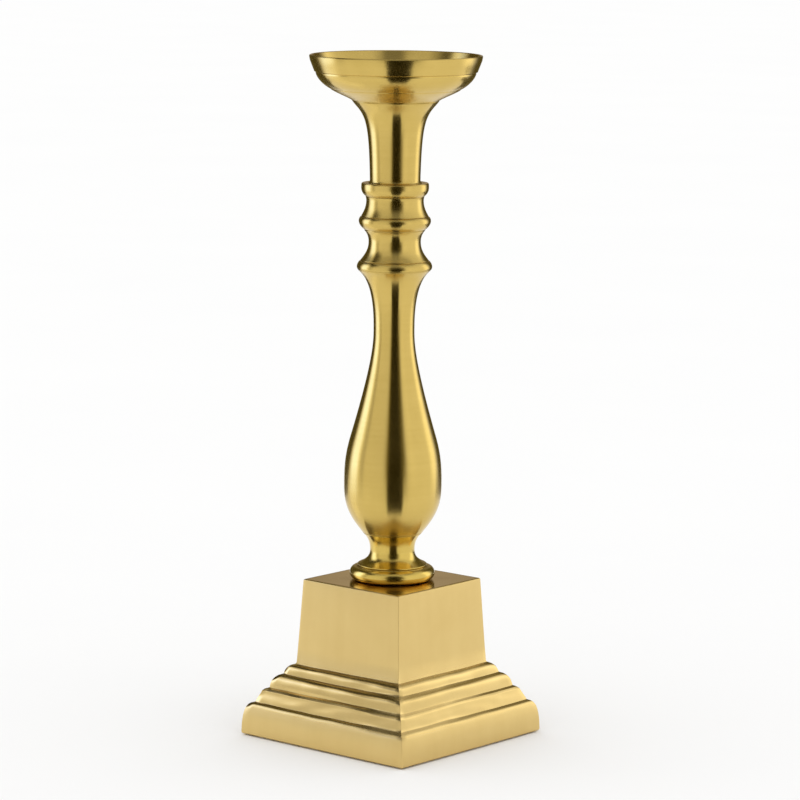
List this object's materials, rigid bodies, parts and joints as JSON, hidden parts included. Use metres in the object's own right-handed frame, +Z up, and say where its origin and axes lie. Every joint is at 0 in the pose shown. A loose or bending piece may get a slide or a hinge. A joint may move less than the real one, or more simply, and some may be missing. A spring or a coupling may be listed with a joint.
{
  "type": "pillar candle holder",
  "caption": "Turned brass pillar candle holder: a shallow cup with a pricket on a flared neck and baluster column, standing on a stepped square plinth.",
  "frame": {"origin": "centre of the surface that the holder stands on, under the column's axis", "axes": "+Z up the column; +X and +Y square to the faces of the plinth"},
  "size_m": [0.1504, 0.1504, 0.481],
  "materials": {
    "satin_brass": "satin, fine lathe lines around the axis",
    "plinth_brass": "satin, hand-brushed faces",
    "polished_brass": "polished, slightly warmer",
    "steel": "zinc-plated",
    "felt": "dark pressed felt"
  },
  "bodies": {
    "root": {"baluster": "satin_brass", "lower_bead": "satin_brass", "lower_reel": "satin_brass", "middle_bead": "satin_brass", "upper_reel": "satin_brass", "collar_ring": "satin_brass", "flared_neck": "satin_brass", "candle_cup": "satin_brass", "plinth": "plinth_brass", "foot_bead": "polished_brass", "lower_spool": "polished_brass", "pricket": "polished_brass", "tie_rod": "steel", "rod_nut": "steel", "spring_washer": "steel", "clamp_washer": "steel", "cup_washer": "steel", "base_plate": "steel", "base_screw_1": "steel", "base_screw_2": "steel", "base_screw_3": "steel", "base_screw_4": "steel", "foot_pad_1": "felt", "foot_pad_2": "felt", "foot_pad_3": "felt", "foot_pad_4": "felt"}
  },
  "joints": []
}
